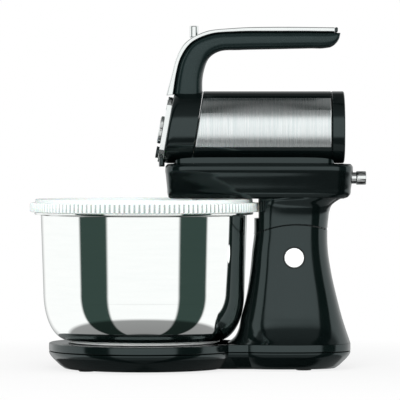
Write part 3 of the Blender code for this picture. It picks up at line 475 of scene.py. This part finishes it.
# ---------------------------------------------------------------------------------------------
# Base tray. The black lower half of the base: its sides turn in under the machine to a flat
# bottom, and a narrow groove parts it from the moulding above.
TRAY_SIDE = np.array(
    [(1.2, 15.0), (4.0, 11.0), (7.4, 7.5), (10.6, 4.2), (13.4, 1.9), (16, 0.3), (17.8, 0.0), (18.3, 1.0)]
)
TRAY_LOW, TRAY_HIGH = 1.2, 18.3
tray_side = [(BASE_R - inset, z) for z, inset in TRAY_SIDE]
tray_disc = turned([(0, TRAY_LOW), *tray_side, (0, TRAY_HIGH)], BOWL_AXIS)


def tray_under(middle, x, y):
    """Stack of one plan outline pulled in towards its middle by the tray's side profile."""
    half = np.array([x.max(), y.max()])
    z, inset = TRAY_SIDE.T[:, :, None]
    wide, deep = middle + x * (1 - inset / half[0]), y * (1 - inset / half[1])
    return np.stack([wide, deep, z + 0 * x], -1)


tray_parts = [tray_under(FOOT[0], foot_x, foot_y), tray_under(WAIST[0], waist_x, waist_y)]
tray_grids = [tray_disc, *map(closed_ends, tray_parts)]
skin("base_tray_skin", tray_grids, black_gloss, "stand", ["base_tray"])

# ---------------------------------------------------------------------------------------------
# Release button's collar. A matte black ring in the column's face that frames the white button.
BUTTON_AT, BUTTON_R = (95.4, 111.7), 9.6
loop = np.linspace(0, 2 * np.pi, 96, endpoint=False)
collar_rows = [(0.15, -28.0), (0.15, -30.0), (0.4, -30.4), (1.0, -30.4), (1.3, -29.8), (1.3, -28.0)]
margin, depth = np.array(collar_rows).T[:, :, None]
wide = BUTTON_AT[0] + (BUTTON_R + margin) * np.cos(loop)
tall = BUTTON_AT[1] + (BUTTON_R + margin) * np.sin(loop)
collar = np.stack([wide, depth + 0 * loop, tall], -1)
matte = finish("matte_black", (0.003, 0.004, 0.004), (0.006, 0.007, 0.007), (0.5, 0.7), scale=60, bump=0.2)
skin("button_collar", [(collar, True)], matte, "stand")

# ---------------------------------------------------------------------------------------------
# Turntable and bowl. A pale plastic turntable carries a spun and polished steel bowl with a flat
# foot, a full round corner and a straight side that flares a little to its rolled rim.
pale_plastic = finish("pale_plastic", (0.9, 0.93, 0.92), (0.95, 0.97, 0.96), (0.3, 0.4), scale=30)
table = [(0, 26.7), (75, 26.7), (75.8, 27.2), (76, 27.8), (75.7, 28.4), (75, 28.6), (0, 28.6)]
skin("turntable_disc", [turned(table, BOWL_AXIS)], pale_plastic, "bowl_unit", ["turntable"])
BOWL_FOOT_R, BOWL_WAIST_R, BOWL_RIM_R = 75.0, 100.5, 103.0
BOWL_LOW, BOWL_WAIST, BOWL_FLARE_TOP, BOWL_HIGH = 28.9, 78.0, 153.4, 156.2
BOWL_WALL = 1.2
BOWL_POWER = 2.1


def bowl_side(thick):
    """Quarter superellipse from the flat foot to the waist, then a straight flare up to the rim.
    One more row lies just under the rim, so that the rim's bend doesn't shade the side."""
    angle = np.linspace(0, np.pi / 2, 40)
    r = BOWL_FOOT_R + (BOWL_WAIST_R - BOWL_FOOT_R - thick) * np.sin(angle) ** (2 / BOWL_POWER)
    z = BOWL_WAIST - (BOWL_WAIST - BOWL_LOW - thick) * np.cos(angle) ** (2 / BOWL_POWER)
    up = np.sort(np.append(np.linspace(0, 1, 16)[1:], 0.996))
    r = np.concatenate([r, BOWL_WAIST_R - thick + (BOWL_RIM_R - BOWL_WAIST_R) * up])
    return np.stack([r, np.concatenate([z, BOWL_WAIST + (BOWL_FLARE_TOP - BOWL_WAIST) * up])], -1)


rim = [(103.6, 154.0), (109.0, 154.3), (109.4, 155.0), (109.2, BOWL_HIGH), (103.2, BOWL_HIGH), (101.8, 155.2)]
bottom, floor_top = [(0, BOWL_LOW)], [(0, BOWL_LOW + BOWL_WALL)]
profile = np.concatenate([bottom, bowl_side(0), rim, bowl_side(BOWL_WALL)[::-1], floor_top])
polished = finish(
    "polished_steel",
    (0.95, 0.98, 0.965),
    (0.975, 1.0, 0.985),
    (0.035, 0.05),
    metal=1,
    grain=(1, 1, 12),
    scale=20,
)
bowl = turned(profile, BOWL_AXIS, 320)
skin("bowl_shell", [bowl], polished, "bowl_unit", ["bowl"], sharp=50)

# ---------------------------------------------------------------------------------------------
# Bowl ring. A moulded translucent white ring clipped on the rim: a plain lip above a band of
# 144 rounded teeth, which the pinion in the neck turns. The valleys between them carry painted shade in the
# colour.
RING_TEETH = 144
TOOTH_DEPTH, TOOTH_POWER = 2.35, 0.7
VALLEY_LOW, VALLEY_HIGH = 157.2, 165.6
# Colour of the painted shade laid into the valleys between the teeth.
VALLEY_PAINTED_SHADE = (0.3, 0.34, 0.33, 1)
around = np.linspace(0, 2 * np.pi, RING_TEETH * 8, endpoint=False)
tooth = (0.5 + 0.5 * np.cos(RING_TEETH * around)) ** TOOTH_POWER
# Rows of (radius, height, share of the tooth's depth), from the inner lower edge round to the lip.
ring_rows = [
    (104.2, 156.7, 0),
    (111.0, 156.7, 0),
    (111.2, 156.9, 0.6),
    (111.6, 157.5, 1.0),
    (111.6, 165.2, 1.0),
    (111.3, 165.8, 0.7),
    (110.6, 166.1, 0.2),
    (108.7, 166.2, 0),
    (108.7, 168.9, 0),
    (108.2, 169.6, 0),
    (105.0, 169.6, 0),
    (104.4, 169.2, 0),
]
base_r, height, relief = np.array(ring_rows).T[:, :, None]
radius = base_r + TOOTH_DEPTH * relief * tooth
ring = np.stack([BOWL_AXIS[0] + radius * np.cos(around), radius * np.sin(around), height + 0 * radius], -1)
ring_white = finish("ring_plastic", (0.74, 0.8, 0.785), (0.8, 0.86, 0.845), (0.22, 0.3), scale=25)
band = skin(
    "ring_gear_band", [(ring, True)], ring_white, "bowl_unit", ["bowl_ring_gear"], sharp=60
)
tree = ring_white.node_tree
shader = tree.nodes["Principled BSDF"]
shader.inputs["Subsurface Weight"].default_value = 0.1
shader.inputs["Subsurface Scale"].default_value = 0.001
plain = shader.inputs["Base Color"].links[0].from_socket
# Painted shade: the ring's colour is mixed towards the valley shade colour by a per-point mask.
painted_shade_mask = tree.nodes.new("ShaderNodeAttribute")
painted_shade_mask.attribute_name = "painted_shade_mask"
shade = tree.nodes.new("ShaderNodeMix")
shade.data_type = "RGBA"
shade.inputs[7].default_value = VALLEY_PAINTED_SHADE
tree.links.new(painted_shade_mask.outputs["Fac"], shade.inputs[0])
tree.links.new(plain, shade.inputs[6])
tree.links.new(shade.outputs[2], shader.inputs["Base Color"])
spots = np.empty(len(band.data.vertices) * 3, np.float32)
band.data.vertices.foreach_get("co", spots)
spots = spots.reshape(-1, 3) / MM + np.array([*band.location]) / MM
bearing = np.arctan2(spots[:, 1], spots[:, 0] - BOWL_AXIS[0])
in_band = (spots[:, 2] > VALLEY_LOW) & (spots[:, 2] < VALLEY_HIGH)
# Mask of the painted shade: one at the bottom of each valley, nothing on the tooth tips, only inside the
# toothed band.
depth = np.where(in_band, (0.5 - 0.5 * np.cos(RING_TEETH * bearing)) ** 2, 0).astype(np.float32)
band.data.attributes.new("painted_shade_mask", "FLOAT", "POINT").data.foreach_set("value", depth)

# ---------------------------------------------------------------------------------------------
# Head. One black moulding: a long arm with a flat deck for the mixer, and a neck below it that
# spreads into the arm at the rear and is hollowed in front where the bowl's ring turns.
NECK_ROWS = np.array(
    [
        (124.0, 55.5, 129.2, 29.0),
        (138.6, 56.3, 129.2, 29.0),
        (150.0, 56.3, 130.2, 29.5),
        (158.0, 56.3, 131.4, 30.5),
        (164.5, 56.3, 134.6, 32.0),
        (169.0, 56.3, 141.0, 34.0),
        (171.6, 56.3, 146.0, 34.6),
    ]
)
ARM_ROWS = np.array(
    [
        (170.2, -27.4, 145.4, 32.0),
        (171.2, -29.2, 148.4, 33.8),
        (173.2, -30.0, 150.8, 35.3),
        (180.0, -30.7, 152.4, 37.1),
        (192.0, -31.9, 153.7, 39.9),
        (200.0, -32.6, 154.3, 41.7),
        (202.4, -32.2, 153.9, 41.6),
        (204.0, -30.7, 152.4, 40.2),
        (204.8, -28.5, 150.2, 38.0),
        (205.0, -25.0, 146.0, 34.5),
    ]
)
ARM_POWER, NECK_POWER = 5, 2.5
SLOT_R, SLOT_Z = 116.0, (150.6, 170.2)
SEAM_GAP, SOLE_GAP = 0.8, 0.3
HINGE_Z = 139.8
HINGE_RELIEF = ([127.1, 127.2, 128.8, 130.6], [-9, 0, 1.1, 1.7])
bands = [np.linspace(170.2, 174, 12), np.linspace(175, 199, 14), np.linspace(200, 205, 18)]
arm = tower(ARM_ROWS, np.concatenate(bands), ARM_POWER, 240)
levels = np.concatenate([np.linspace(124, 150.5, 60), np.linspace(150.7, 171.6, 60)])
neck = tower(NECK_ROWS, levels, NECK_POWER)
# The neck's lower end is lifted to the arched seam, and behind the hinge to a relief that clears
# the column when the head tips back.
relief = HINGE_Z + np.interp(neck[..., 0], *HINGE_RELIEF)
floor_z = np.maximum(seam_height(neck[..., 0], SEAM_R + SEAM_GAP), relief)
neck[..., 2] = np.maximum(neck[..., 2], floor_z)
# Points inside the ring's path are pushed straight out from the bowl's axis to its edge.
reach_x, reach_y = neck[..., 0] - BOWL_AXIS[0], neck[..., 1]
far = np.hypot(reach_x, reach_y)
inside = (far < SLOT_R) & (neck[..., 2] > SLOT_Z[0]) & (neck[..., 2] < SLOT_Z[1])
push = np.where(inside, SLOT_R / far, 1)
neck[..., 0] = BOWL_AXIS[0] + reach_x * push
neck[..., 1] = reach_y * push
sole = neck[0].mean(0)
cap = np.concatenate([np.linspace(0, 0.95, 13), [0.975]])[:, None, None] * (neck[0] - sole) + sole
cap[..., 2] = seam_height(cap[..., 0], SEAM_R + SOLE_GAP)
neck = np.concatenate([cap, neck, closed_ends(neck)[-3:]])
head_grids = [closed_ends(arm), neck]
skin("head_moulding", head_grids, black_gloss, "head", ["head_shell", "head_floor"])

# ---------------------------------------------------------------------------------------------
# Mixer housings. Black plastic shells of one rounded section: a nose that leans back under the
# controls, a barrel over the motor, and a flat-ended cap with a small rounded rim behind a fine groove.
BODY_Z, BODY_HALF_H, BODY_HALF_W = 241.3, 36.0, 40.0
BODY_POWER_TOP, BODY_POWER_LOW = 2.0, 2.7
LEAN = np.radians(10)
NOSE_FOOT = (-35.8, 206.0)
SPLIT_FOOT, SPLIT_SLOPE = (-6.5, 205.0), 11.7 / 72.6
NOSE_ROUND, NOSE_INSET = 6.5, 3.0
LIP_AT, LIP_Z, LIP_EDGE = -36.2, (202.0, 212.0), 1.6
PAD_AT, PAD_Z, PAD_EDGE = 56, (205.03, 214), 0.6
BARREL_END = (132.3, 132.9)
CAP_START = (133.2, 133.8)
CAP_END, CAP_ROUND = 144.2, 1.5


def body_section(count=200):
    """Unit section of the body: an ellipse above its middle and a squarer superellipse below, as
    (across, up)."""
    angle = np.linspace(0, 2 * np.pi, count, endpoint=False)
    power = np.where(np.sin(angle) > 0, BODY_POWER_TOP, BODY_POWER_LOW)
    return squarish(np.cos(angle), power), squarish(np.sin(angle), power)


def nose_x(z):
    """Place of the leaning nose face at a height."""
    return NOSE_FOOT[0] + (z - NOSE_FOOT[1]) * np.tan(LEAN)


def split_x(z):
    """Place of the slanted joint between nose and barrel at a height."""
    return SPLIT_FOOT[0] + (z - SPLIT_FOOT[1]) * SPLIT_SLOPE


def barrel(stations):
    """Loft of the body section: each station is (place function of height, size lost all round)."""
    across, up = body_section()
    rows = []
    for place, lost in stations:
        y = (BODY_HALF_W - lost) * across
        z = BODY_Z + (BODY_HALF_H - lost) * up
        rows.append(np.stack([place(z) + 0 * z, y, z], -1))
    return closed_ends(np.array(rows))


quarter = np.linspace(0, np.pi / 2, 8)
nose = [
    (lambda z, d=NOSE_ROUND * (1 - np.sin(a)): nose_x(z) + d, NOSE_INSET * (1 - np.cos(a)))
    for a in quarter[::-1]
]
nose += [(lambda z, d=d: split_x(z) - d, lost) for d, lost in ((4, 0.0), (0.7, 0.0), (0.1, 0.5))]
lip_x, lip_y = oval(2.9, 17, 4)
lip = rounded_slab(LIP_AT + lip_x, lip_y, *LIP_Z, LIP_EDGE)
nose_grids = [barrel(nose), closed_ends(lip)]
skin("nose_housing", nose_grids, black_gloss, "mixer", ["front_housing"])
mid = [(lambda z, d=d: split_x(z) + d, lost) for d, lost in ((0.3, 0.5), (0.9, 0.0))]
mid += [(lambda z, x=x: x, lost) for x, lost in zip(BARREL_END, (0.0, 0.6))]
pad_x, pad_y = oval(80, 28, 8)
pad = rounded_slab(PAD_AT + pad_x, pad_y, *PAD_Z, PAD_EDGE)
barrel_grids = [barrel(mid), closed_ends(pad)]
skin("barrel_housing", barrel_grids, black_gloss, "mixer", ["motor_housing"])
tail = [(lambda z, x=x: x, lost) for x, lost in zip(CAP_START, (0.6, 0.0))]
tail += [
    (lambda z, x=CAP_END + CAP_ROUND * np.sin(a): x, CAP_ROUND * (1 - np.cos(a)))
    for a in np.linspace(0, np.pi / 2, 6)
]
skin("tail_cap", [barrel(tail)], black_gloss, "mixer", ["rear_cap"])

# ---------------------------------------------------------------------------------------------
# Side sleeves. A thin brushed steel sheet wraps each flank of the barrel; the brushing runs up
# and down the sheet, and the edges are folded in under the housing.
SLEEVE_Z = (221.5, 270.0)
SLEEVE_START, SLEEVE_END = 1.4, 131.8
SLEEVE_PROUD, SLEEVE_EDGE, SLEEVE_BURIED = 0.9, 0.4, 0.6
brushed = finish(
    "brushed_sleeve",
    (0.78, 0.86, 0.86),
    (0.97, 1.0, 1.0),
    (0.24, 0.36),
    metal=1,
    grain=(1, 0.02, 0.02),
    scale=900,
    bump=0.035,
    fine=2600,
)


def sleeve(side):
    """Flank of the body section between two heights, half width (1 - (rise/half height)^n)^(1/n),
    as a thin closed strip drawn from the slanted joint to the cap."""
    z = np.linspace(*SLEEVE_Z, 60)
    power = np.where(z > BODY_Z, BODY_POWER_TOP, BODY_POWER_LOW)
    y = BODY_HALF_W * (1 - (np.abs(z - BODY_Z) / BODY_HALF_H) ** power) ** (1 / power)
    rows = []
    for share in (0, 0.004, 0.5, 0.996, 1):
        x = (split_x(z) + SLEEVE_START) * (1 - share) + SLEEVE_END * share
        proud = SLEEVE_PROUD if 0 < share < 1 else SLEEVE_EDGE
        outer = np.stack([x, side * (y + proud), z], -1)
        inner = np.stack([x, side * (y - SLEEVE_BURIED), z], -1)
        rows.append(np.concatenate([outer, inner[::-1]]))
    return closed_ends(np.array(rows))


for side, word in ((-1, "left"), (1, "right")):
    node = f"side_sleeve_{word}"
    skin(f"sleeve_{word}", [sleeve(side)], brushed, "mixer", [node], sharp=40)

# ---------------------------------------------------------------------------------------------
# Handle. A soft-edged black grip rises from the nose, turns over in one bend and runs level to
# the rear; a bright plated strip lies along its back and ends in a black block. The knots give the
# share of the way along, then the place in the side plane.
GRIP_BACK = np.array(
    [
        (0, -24.3, 274.0),
        (0.1, -21.3, 294.5),
        (0.2, -16.9, 310.2),
        (0.33, -5.1, 326.0),
        (0.45, 12.7, 333.7),
        (0.6, 38.2, 336.0),
        (0.8, 80.0, 336.3),
        (0.9, 110, 336.3),
        (0.95, 126, 336.1),
        (0.965, 131, 336.1),
        (0.98, 136, 335.9),
        (0.99, 139.2, 335.7),
        (1.0, 141.7, 335.4),
    ]
)
GRIP_FRONT = np.array(
    [
        (0, 4.4, 272.0),
        (0.1, 4.4, 288.0),
        (0.2, 6.3, 299.0),
        (0.33, 11.7, 310.9),
        (0.45, 22.0, 317.2),
        (0.6, 42.0, 318.5),
        (0.8, 82.0, 319.4),
        (0.9, 112, 320.1),
        (0.95, 128, 320.5),
        (0.965, 133.2, 321.6),
        (0.98, 138.2, 325.4),
        (0.99, 140.8, 329.5),
        (1.0, 141.9, 334.2),
    ]
)
GRIP_HALF, GRIP_POWER = 15.5, 3.2
TIP_SHARE, TIP_NARROWING = 0.04, 0.25
along = 1 - np.linspace(1, 0, 220) ** 1.5
back, front = curve(GRIP_BACK, along), curve(GRIP_FRONT, along)
around = np.linspace(0, 2 * np.pi, 96, endpoint=False)
c, s = np.cos(around), np.sin(around)
deep, wide = squarish(c, GRIP_POWER), squarish(s, GRIP_POWER)
middle, half = (back + front) / 2, (back - front) / 2
plan = 1 - TIP_NARROWING * np.clip((along[:, None] - (1 - TIP_SHARE)) / TIP_SHARE, 0, 1) ** 3
grip_x, grip_z = middle[:, :1] + half[:, :1] * deep, middle[:, 1:] + half[:, 1:] * deep
grip = np.stack([grip_x, GRIP_HALF * wide * plan, grip_z], -1)
grip_black = finish(
    "grip_black", (0.004, 0.0085, 0.0085), (0.006, 0.012, 0.012), (0.2, 0.3), scale=24, tint=TEAL
)
skin("grip_moulding", [closed_ends(grip)], grip_black, "mixer", ["handle_grip"])

STRIP_BACK = np.array(
    [
        (0, -31.6, 273.4),
        (0.1, -26.6, 291.5),
        (0.2, -22.3, 307.8),
        (0.33, -12.6, 325.6),
        (0.45, 6.0, 336.2),
        (0.6, 34.0, 340.0),
        (0.8, 78.0, 341.3),
        (1.0, 136.0, 340.8),
    ]
)
STRIP_HALF, STRIP_END, STRIP_POWER = 13.0, 136.0, 7
strip_out = curve(STRIP_BACK, along)
strip_in = curve(GRIP_BACK, along)
strip_in[:, 0] = np.minimum(strip_in[:, 0], STRIP_END)
flat, side_on = squarish(c, STRIP_POWER), squarish(s, STRIP_POWER)
middle, half = (strip_out + strip_in) / 2, (strip_out - strip_in) / 2
strip_x, strip_z = middle[:, :1] + half[:, :1] * flat, middle[:, 1:] + half[:, 1:] * flat
strip = np.stack([strip_x, STRIP_HALF * side_on + 0 * strip_x, strip_z], -1)
plated = finish("bright_plating", (0.86, 0.9, 0.89), (0.9, 0.935, 0.925), (0.1, 0.16), metal=1, scale=16)
skin("back_strip", [closed_ends(strip)], plated, "mixer", ["handle_trim"])

# ---------------------------------------------------------------------------------------------
# Speed dial and release knob. Two plated turnings: a dial with a finely milled edge on the leaning
# fascia, and a push knob on a thinner neck at the arm's rear end. Rows are (distance, radius).
DIAL_UP, DIAL_OUT, DIAL_RIPPLE, DIAL_TEETH = 32.0, 0.3, 0.2, 72
KNOB_END = (168.0, 0, 190.7)


def turning(rows, start, along, sideways, ripple=0.0, teeth=0, count=288):
    """Lathe about a slanted line: (distance along it, radius) rows, with ripples cut into the radius
    as half of one plus the cosine of teeth times the angle."""
    angle = np.linspace(0, 2 * np.pi, count, endpoint=False)
    place, radius = np.array(rows, float).T[:, :, None]
    radius = radius - np.where(radius > 1, ripple, 0) * (0.5 + 0.5 * np.cos(teeth * angle))
    across, up = np.cos(angle)[None, :, None], np.sin(angle)[None, :, None]
    third = np.cross(along, sideways)
    spoke = radius[..., None] * (across * sideways + up * third)
    return np.array(start) + place[..., None] * along + spoke


out, up = np.array([-np.cos(LEAN), 0, np.sin(LEAN)]), np.array([np.sin(LEAN), 0, np.cos(LEAN)])
right = np.array([0, 1, 0])
dial_at = np.array([NOSE_FOOT[0], 0, NOSE_FOOT[1]]) + DIAL_OUT * out + DIAL_UP * up
dial_rows = [(4.9, 0), (4.9, 13.2), (5.2, 13.8), (7.6, 13.8), (8.3, 13.2), (8.5, 12.2)]
dial_rows += [(8.5, 8), (8.1, 6), (8.1, 0)]
dial = turning(dial_rows, dial_at, out, right, DIAL_RIPPLE, DIAL_TEETH)
skin("dial_turning", [dial], plated, "dial", ["speed_dial"])
knob_rows = [(0, 0), (0, 5.9), (0.3, 6.5), (0.9, 6.75), (9.3, 6.75), (9.8, 6.5), (10.0, 5.7)]
knob_rows += [(20, 5.7), (20, 0)]
knob = turning(knob_rows, KNOB_END, np.array([-1.0, 0, 0]), right)
skin("knob_turning", [knob], plated, "release_knob", ["mixer_release_knob"])

# ---------------------------------------------------------------------------------------------
# CAD pieces that keep their own shape: each gets the finish of its slot.
SLOT_FINISH = {
    "black_gloss": black_gloss,
    "white_plastic": pale_plastic,
    "polished_steel": polished,
    "brushed_steel": brushed,
    "chrome": plated,
    "rubber": finish("rubber_pad", (0.012, 0.012, 0.012), (0.02, 0.02, 0.02), (0.6, 0.8), bump=0.2),
    "copper": finish("copper_winding", (0.5, 0.2, 0.08), (0.62, 0.28, 0.12), (0.3, 0.45), metal=1, bump=0.2),
    "nylon": finish("nylon_gear", (0.6, 0.57, 0.48), (0.68, 0.65, 0.56), (0.4, 0.5)),
    "dark_steel": finish("plain_steel", (0.2, 0.21, 0.22), (0.28, 0.29, 0.3), (0.3, 0.45), metal=1, bump=0.1),
    "board_green": finish("board_green", (0.01, 0.08, 0.03), (0.02, 0.13, 0.06), (0.35, 0.5)),
}
for row in frame["record"]["subparts"]:
    cad = frame["nodes"][row["node"]]
    cad.data.materials.clear()
    cad.data.materials.append(SLOT_FINISH[row["material_slot"]])
